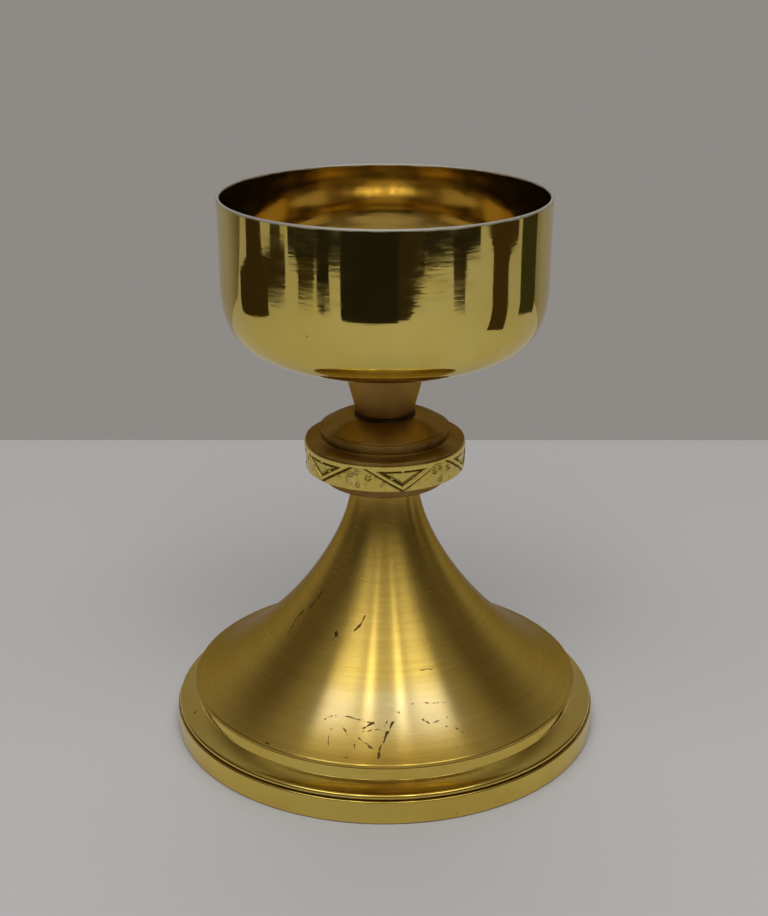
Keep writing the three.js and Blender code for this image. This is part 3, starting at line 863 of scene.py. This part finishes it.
def band():
    """The cast ring: its outside follows the ornament, and its bore is plain."""
    columns, rows = 1440, 70
    bore = 15.5
    top, bottom = FLANGE_SEAT, RING_SEAT
    depths = np.linspace(0.0, top - bottom, rows + 1)
    angles = np.arange(columns) * FULL / columns
    grid_angle, grid_depth = np.meshgrid(angles, depths)
    radii = RING_R - RELIEF + ornament(grid_angle, grid_depth)
    edge = 0.16
    for row in (depths, (top - bottom) - depths):
        inward = np.clip(1 - row / edge, 0, 1)
        radii -= (edge * (1 - np.sqrt(1 - inward**2)))[:, None]
    radii = np.minimum(radii, RING_R)
    x, y = radii * np.sin(grid_angle), -radii * np.cos(grid_angle)
    z = np.repeat((top - depths)[:, None], columns, axis=1)
    bore_rings = [about_axis([(bore, height)] * columns) for height in (bottom, top)]
    vertices, rings = stacked(np.stack([x, y, z], axis=-1).tolist() + bore_rings)
    sharp_piece("knop_ring", vertices, skin(rings), bright, 60, "base", "knop_band")


# Screws and nuts

def level(height, points):
    return [(x, y, height) for x, y in points]


def shrunk(points, by):
    """Each point of a round outline, moved towards the axis."""
    made = []
    for x, y in points:
        size = math.hypot(x, y)
        made.append((x * (size - by) / size, y * (size - by) / size))
    return made


def circle(radius, angles):
    return [(radius * math.cos(a), radius * math.sin(a)) for a in angles]


def ring_nut():
    half, edge = 0.8, 0.12
    slot_floor = (NUT_R + KNOP_BORE) / 2
    wall = math.asin(half / NUT_R)
    outer = []
    for start, sign in ((0.0, -1), (math.pi, 1)):
        outer += circle(NUT_R, [start + wall + (math.pi - 2 * wall) * k / 48 for k in range(49)])
        outer += [(sign * slot_floor, -sign * side * half) for side in (1, 0.5, 0, -0.5, -1)]
    inner = circle(KNOP_BORE, [math.atan2(y, x) for x, y in outer])
    low, high = NUT_SEAT + edge, DOME_TOP - edge
    vertices, rings = stacked([
        level(NUT_SEAT, shrunk(outer, edge)), level(low, outer), level(high, outer),
        level(DOME_TOP, shrunk(outer, edge)), level(DOME_TOP, shrunk(inner, -edge)),
        level(high, inner), level(low, inner), level(NUT_SEAT, shrunk(inner, -edge)),
    ])
    sharp_piece("knop_nut", vertices, skin(rings), brass, 32, "base", "knop_ring_nut")


def hex_nut():
    sides, funnel, chamfer = 96, 0.35, math.tan(math.radians(30))
    flats, bore = HEX_R * math.cos(math.pi / 6), ROD_R + SLIP
    disc = flats * 0.97
    angles = [FULL * k / sides for k in range(sides)]
    flat, narrow, wide = (circle(radius, angles) for radius in (disc, bore, bore + funnel))
    turns = [math.remainder(a - math.pi / 6, math.pi / 3) for a in angles]
    outer = [circle(flats / math.cos(turn), [a])[0] for a, turn in zip(angles, turns)]
    fall = [(math.hypot(*p) - disc) * chamfer for p in outer]
    vertices, rings = stacked([
        level(HEX_BOTTOM, flat),
        [(x, y, HEX_BOTTOM + f) for (x, y), f in zip(outer, fall)],
        [(x, y, HEX_TOP - f) for (x, y), f in zip(outer, fall)],
        level(HEX_TOP, flat), level(HEX_TOP, wide), level(HEX_TOP - funnel, narrow),
        level(HEX_BOTTOM + funnel, narrow), level(HEX_BOTTOM, wide),
    ])
    sharp_piece("foot_nut", vertices, skin(rings), steel, 24, "base", "tie_nut")


def threaded(radius, pitch, bottom, top, runout, chamfer, columns=64):
    """Rings of a screw thread from its tip to where it runs out, as (radius, height) for each direction."""
    depth = 0.61 * pitch
    rows = int((top - bottom) / (pitch / 14))
    rings = []
    for i in range(rows + 1):
        height = bottom + (top - bottom) * i / rows
        ring = []
        for k in range(columns):
            turn = (height / pitch - k / columns) % 1.0
            ridge = abs(turn - 0.5) * 2
            cut = depth * min(1.0, max(0.0, (ridge - 0.12) / 0.70))
            fade = min(1.0, max(0.0, (top - height) / runout))
            limit = radius - max(0.0, chamfer - (height - bottom))
            ring.append((min(radius - cut * fade, limit), height))
        rings.append(ring)
    return rings


def screw(name, rings, rest, body, node, material):
    """A threaded length followed by turned lengths, closed on the axis at both ends."""
    turned_rings = [[point] * len(rings[0]) for point in rest]
    tip, end = [(0.0, 0.0, rings[0][0][1])], [(0.0, 0.0, rest[-1][1])]
    vertices, numbers = stacked([tip, *(about_axis(ring) for ring in rings + turned_rings), end])
    sharp_piece(name, vertices, skin(numbers, closed=False), material, 40, body, node)


def cup_stud():
    shoulder, spigot, neck = 6.0, 3.0, 3.2
    web_bottom = COLLAR_SEAT + 0.4 + 1.6
    rings = threaded(STUD_R, STUD_PITCH, STUD_TIP, web_bottom - 2.6, 1.2, 0.8)
    rest = softened([
        (neck, web_bottom - 2.5), (neck, web_bottom - 1.6), (shoulder, web_bottom - 1.6),
        (shoulder, web_bottom), (spigot, web_bottom), (spigot, STUD_TOP), (1.0, STUD_TOP),
    ], 0.15)
    screw("cup_screw", rings, rest, "cup", "cup_stud", brass)


def tie_rod():
    rings = threaded(ROD_R, ROD_PITCH, ROD_TIP, ROD_TOP - 0.2, 0.6, 0.6)
    rest = [(ROD_R - 0.1, ROD_TOP - 0.1), (ROD_R - 0.3, ROD_TOP)]
    screw("foot_rod", rings, rest, "base", "tie_rod", steel)


def seat_washer():
    inside = list(reversed(offset(bezier(cone_profile()[1], 120), SHEET)))
    heights = [SEAT_TOP - (SEAT_TOP - SEAT_BOTTOM) * k / 8 for k in range(9)]
    radii = [float(np.interp(-z, [-p[1] for p in inside], [p[0] for p in inside])) - SLIP for z in heights]
    bore = ROD_R + SLIP
    turned("foot_seat", [(bore, SEAT_TOP), *zip(radii, heights), (bore, SEAT_BOTTOM)],
           128, "base", [brass], "seat_washer", 0.2)


def lock_washer():
    """A split ring of square wire."""
    inner = ROD_R + SLIP
    half_gap = 0.45 / ((inner + LOCK_R) / 2)
    steps, edge = 72, 0.15
    square = [(inner, LOCK_BOTTOM), (LOCK_R, LOCK_BOTTOM), (LOCK_R, LOCK_TOP), (inner, LOCK_TOP)]
    section = softened(square, edge)
    levels = []
    for k in range(steps + 1):
        angle = half_gap + (FULL - 2 * half_gap) * k / steps
        levels.append([(r * math.cos(angle), r * math.sin(angle), z) for r, z in section])
    vertices, rings = stacked(levels)
    faces = [rings[0][::-1], rings[-1], *skin(rings, closed=False)]
    sharp_piece("foot_spring", vertices, faces, steel, 40, "base", "lock_washer")


# Cup

def bowl():
    slope = math.radians(CUP_SLOPE)
    side = (BOWL_R - LIP_FLARE, RIM - CUP_SIDE)
    outside = bezier([
        (CUP_FLAT, CUP_SEAT),
        (CUP_FLAT + FLAT_PULL * math.cos(slope), CUP_SEAT + FLAT_PULL * math.sin(slope)),
        (side[0], side[1] - SIDE_PULL),
        side,
    ], 90)
    rise = RIM - LIP_ROUND - side[1]
    upper = [(side[0] + LIP_FLARE * t * t, side[1] + rise * t) for t in [k / 14 for k in range(15)]]
    within = list(reversed(offset(outside, CUP_WALL)))
    floor = CUP_SEAT + CUP_WALL
    floor_start = next(i for i, p in enumerate(within) if p[0] < 20.0)
    turned("cup", [
        (0, CUP_SEAT),
        *outside,
        *upper[1:],
        *arc((BOWL_R - LIP_ROUND, RIM - LIP_ROUND), LIP_ROUND, 0, 90, 8)[1:],
        *arc((BOWL_R - CUP_WALL + LIP_ROUND, RIM - LIP_ROUND), LIP_ROUND, 90, 180, 8),
        *((r - CUP_WALL, z) for r, z in reversed(upper[:-1])),
        *within[1:floor_start],
        *bezier([within[floor_start], (CUP_FLAT, floor), (4.0, floor)], 14),
        (0, floor),
    ], 320, "cup", [gilt, gilt_within_lit], "cup_bowl", 0.3, faces_hollow)


def collar():
    bottom, hollow, hole, edge = 7.95, 6.3, 3.3, 0.25
    web_bottom = COLLAR_SEAT + 2.0
    web_top = web_bottom + 2.0
    turned("cup_ferrule", [
        (hollow, COLLAR_SEAT), (bottom - edge, COLLAR_SEAT), (bottom, COLLAR_SEAT + edge),
        (COLLAR_R, CUP_SEAT), (BOSS_R + SLIP, CUP_SEAT), (BOSS_R + SLIP, web_top),
        (hole, web_top), (hole, web_bottom), (hollow, web_bottom),
    ], 192, "cup", [satin_collar], "cup_collar", 0.12)


def boss():
    end, hole = CUP_SEAT - 1.8, 3.3
    turned("cup_boss_piece", [
        (0, end), (hole, end), (hole, BOSS_BOTTOM), (BOSS_R, BOSS_BOTTOM), (BOSS_R, CUP_SEAT), (0, CUP_SEAT),
    ], 96, "cup", [brass], "cup_boss")


def washer():
    turned("cup_washer", [
        (WASHER_BORE, DOME_TOP), (WASHER_R, DOME_TOP), (WASHER_R, COLLAR_SEAT), (WASHER_BORE, COLLAR_SEAT),
    ], 128, "washer", [leather], "collar_washer", 0.15)


for make in (foot_band, foot_cover, cone, lower_plate, flange, dome, core, band, ring_nut, hex_nut, cup_stud,
             tie_rod, seat_washer, lock_washer, bowl, collar, boss, washer):
    make()


# Stage, in metres: a pale table before a grey wall, and dark cards that show in reflections alone

def stage_mesh(name, points, faces, material):
    data = bpy.data.meshes.new(name)
    data.from_pydata(points, [], faces)
    data.materials.append(material)
    made = bpy.data.objects.new(name, data)
    bpy.context.scene.collection.objects.link(made)
    return made


def matt(name, colour, clear_below=False):
    """A plain matt surface, see-through from below where asked."""
    made = bpy.data.materials.new(name)
    made.use_nodes = True
    s = Nodes(made.node_tree)
    shader = s.tree.nodes["Principled BSDF"]
    shader.inputs["Base Color"].default_value = (*colour, 1)
    shader.inputs["Roughness"].default_value = 0.85
    if clear_below:
        choose = s.add("ShaderNodeMixShader")
        s.feed(choose.inputs[0], s.add("ShaderNodeNewGeometry").outputs["Backfacing"])
        s.feed(choose.inputs[1], shader.outputs[0])
        s.feed(choose.inputs[2], s.add("ShaderNodeBsdfTransparent").outputs[0])
        s.feed(s.tree.nodes["Material Output"].inputs["Surface"], choose.outputs[0])
    return made


TABLE_TOP = -0.00005
TABLE_BACK = 0.235
TABLE_SIDE = 1.5
TABLE_EDGE = [(-TABLE_SIDE, -0.2), (-0.75, -0.15), (-0.535, -0.31), (-0.27, -0.50), (0.27, -0.50),
              (0.545, -0.31), (0.75, -0.15), (TABLE_SIDE, -0.2)]
OPEN_RADIUS = (BAND_R - BAND_WALL) * MM


def table_reach(angle, corners):
    """Distance from the axis to the table's edge in one direction."""
    along = Vector((math.cos(angle), math.sin(angle)))
    reached = []
    for a, b in zip(corners, corners[1:] + corners[:1]):
        side = Vector(b) - Vector(a)
        cross = along.x * side.y - along.y * side.x
        if abs(cross) < 1e-9:
            continue
        far = (a[0] * side.y - a[1] * side.x) / cross
        share = (a[0] * along.y - a[1] * along.x) / cross
        if far > 0 and -1e-6 <= share <= 1 + 1e-6:
            reached.append(far)
    return min(reached)


def table():
    """The table top, open under the hollow foot so that its inside gets light from below."""
    corners = [*TABLE_EDGE, (TABLE_SIDE, TABLE_BACK), (-TABLE_SIDE, TABLE_BACK)]
    angles = sorted([math.atan2(y, x) for x, y in corners] + [FULL * k / 64 - math.pi for k in range(64)])
    edge = [circle(table_reach(angle, corners), [angle])[0] for angle in angles]
    points = level(TABLE_TOP, circle(OPEN_RADIUS, angles) + edge)
    count = len(angles)
    faces = [(k, count + k, count + (k + 1) % count, (k + 1) % count) for k in range(count)]
    stage_mesh("table", points, faces, matt("table_top", (0.52, 0.517, 0.525), True))


table()

# Outlines of the cards: shares of the width, and of the height that the rim reflects
BOTTLE = ((0.5, -0.02), (0.9, 0.02), (1.0, 0.12), (1.0, 0.84), (0.72, 0.95), (0.66, 1.5), (0.24, 1.5),
          (0.18, 0.95), (0.0, 0.84), (0.0, 0.12), (0.1, 0.02))
SITTER = ((0.0, 0.0), (1.0, 0.0), (1.0, 0.80), (1.15, 0.87), (1.3, 0.93), (1.45, 1.3), (-0.45, 1.3),
          (-0.38, 0.95), (-0.13, 0.86), (-0.05, 0.78))
ARM = ((0.0, 0.0), (0.35, 0.12), (0.8, 0.42), (0.97, 0.52), (0.88, 0.69), (1.5, 0.90), (1.9, 1.3),
       (0.0, 1.3))
BUNDLE = ((0.15, 0.32), (0.85, 0.24), (0.80, 0.48), (1.0, 0.70), (0.7, 0.84), (0.2, 0.84), (-0.1, 0.72),
          (0.1, 0.50))
TIP = ((0.3, 0.30), (0.5, 0.20), (0.95, 0.32), (1.0, 0.64), (0.8, 0.68), (0.1, 0.68), (0.0, 0.30))
SPOON = ((0.2, 0.04), (0.85, 0.00), (0.85, 0.45), (1.0, 0.60), (0.85, 0.72), (0.6, 0.78), (0.58, 1.5),
         (0.42, 1.5), (0.40, 0.78), (0.1, 0.72), (0.0, 0.60), (0.15, 0.45))
COLUMN = ((0.05, 0.0), (0.95, 0.0), (0.90, 0.90), (1.05, 0.94), (1.4, 0.98), (1.4, 1.3), (-0.4, 1.3),
          (-0.4, 0.98), (-0.1, 0.94), (0.12, 0.90))
PLAIN = ((0.0, 0.0), (1.0, 0.0), (1.0, 1.4), (0.0, 1.4))
LEFT_SHOULDER = ((0.0, 0.655), (0.326, 0.805), (0.653, 0.79), (1.0, 0.62), (1.0, 1.3), (0.0, 1.3))
RIGHT_SHOULDER = ((0.0, 0.62), (0.225, 0.753), (0.496, 0.82), (1.0, 0.67), (1.0, 1.3), (0.0, 1.3))

# Cards: left and right ends on the table, height that the rim reflects, outline, colour
CARDS = (
    ((-0.213, -0.408), (0.064, -0.437), 0.050, SITTER, (0.014, 0.013, 0.009)),
    ((0.064, -0.455), (0.22, -0.472), 0.036, ARM, (0.045, 0.032, 0.018)),
    ((-0.399, -0.058), (-0.3625, 0.138), 0.056, BOTTLE, (0.060, 0.036, 0.014)),
    ((-0.50, -0.205), (-0.53, -0.045), 0.019, BOTTLE, (0.050, 0.030, 0.014)),
    ((-0.36, -0.362), (-0.45, -0.255), 0.025, BUNDLE, (0.070, 0.042, 0.018)),
    ((-0.29, -0.407), (-0.352, -0.355), 0.028, TIP, (0.010, 0.009, 0.007)),
    ((0.365, -0.390), (0.430, -0.300), 0.019, SPOON, (0.060, 0.036, 0.014)),
    ((0.286, -0.10), (0.286, -0.012), 0.085, COLUMN, (0.085, 0.050, 0.018)),
    ((0.385, 0.07), (0.34, 0.19), 0.058, PLAIN, (0.060, 0.060, 0.025)),
    ((-0.44, -0.205), (-0.21, -0.42), 0.040, LEFT_SHOULDER, (0.016, 0.014, 0.009)),
    ((0.21, -0.42), (0.44, -0.215), 0.040, RIGHT_SHOULDER, (0.016, 0.014, 0.009)),
)
for number, (left, right, tall, outline, colour) in enumerate(CARDS):
    corners = [(*(a + (b - a) * share for a, b in zip(left, right)), tall * high) for share, high in outline]
    card = stage_mesh(f"card_{number}", corners, [tuple(range(len(corners)))], matt(f"card_{number}", colour))
    card.visible_camera = card.visible_diffuse = card.visible_shadow = False


LAMP_AIM = Vector((0, 0, 0.06))
LAMP_COLOUR = (0.985, 0.985, 0.985)


def lamp(name, place, size, power):
    """A soft rectangular lamp that points at the object."""
    data = bpy.data.lights.new(name, "AREA")
    data.shape = "RECTANGLE"
    data.size, data.size_y = size
    data.energy = power
    data.color = LAMP_COLOUR
    made = bpy.data.objects.new(name, data)
    made.location = place
    made.rotation_euler = (LAMP_AIM - Vector(place)).to_track_quat("-Z", "Y").to_euler()
    made.visible_camera = False
    bpy.context.scene.collection.objects.link(made)
    return made


for side, number in ((-1, 1), (1, 2)):
    lamp(f"strip_{number}", (side * 0.195, -0.567, 1.10), (0.08, 0.30), 0.38)
    lamp(f"spot_{number}", (side * 0.50, -0.38, 1.12), (0.46, 0.24), 0.62)
lamp("ceiling", (0, -0.60, 1.35), (1.8, 1.1), 3.4)
for name, y, power in (("front_fill", -0.75, 7.0), ("back_fill", 0.75, 3.5)):
    lamp(name, (0, y, 1.20), (0.9, 0.9), power).visible_glossy = False

# What the metal sees around the table
WALL = (0.27, 0.253, 0.238)
SIDES = (0.097, 0.077, 0.054)
CEILING = (0.30, 0.28, 0.25)
FRONT = (0.020, 0.016, 0.011)


def world():
    """A dark room in front, a grey wall behind and a pale ceiling."""
    made = bpy.data.worlds.new("room")
    made.use_nodes = True
    s = Nodes(made.node_tree)
    _, depth, height = s.split(s.add("ShaderNodeTexCoord").outputs["Generated"])
    around = s.mix(s.between(depth, -0.45, 0.05), FRONT, SIDES)
    around = s.mix(s.between(depth, 0.35, 0.75), around, WALL)
    upward = s.math("MULTIPLY_ADD", depth, -0.35, height)
    around = s.mix(s.between(upward, 0.55, 0.84), around, CEILING)
    seen = s.mix(s.add("ShaderNodeLightPath").outputs["Is Camera Ray"], around, WALL)
    s.feed(s.tree.nodes["Background"].inputs["Color"], seen)
    bpy.context.scene.world = made


world()

# Camera, fitted to the photograph's ellipses: focal length and height of the frame in its pixels
FOCAL = 1600
FRAME_HEIGHT = 916
SENSOR = 36
LOOK_DOWN = 20.5

camera_data = bpy.data.cameras.new("camera")
camera_data.sensor_width = SENSOR
camera_data.lens = FOCAL * SENSOR / FRAME_HEIGHT
camera = bpy.data.objects.new("camera", camera_data)
camera.location = (0, -0.4175, 0.2356)
camera.rotation_euler = (math.radians(90 - LOOK_DOWN), 0, 0.00056)
bpy.context.scene.collection.objects.link(camera)
bpy.context.scene.camera = camera
bpy.context.scene.view_settings.view_transform = "Standard"

bpy.context.view_layer.update()
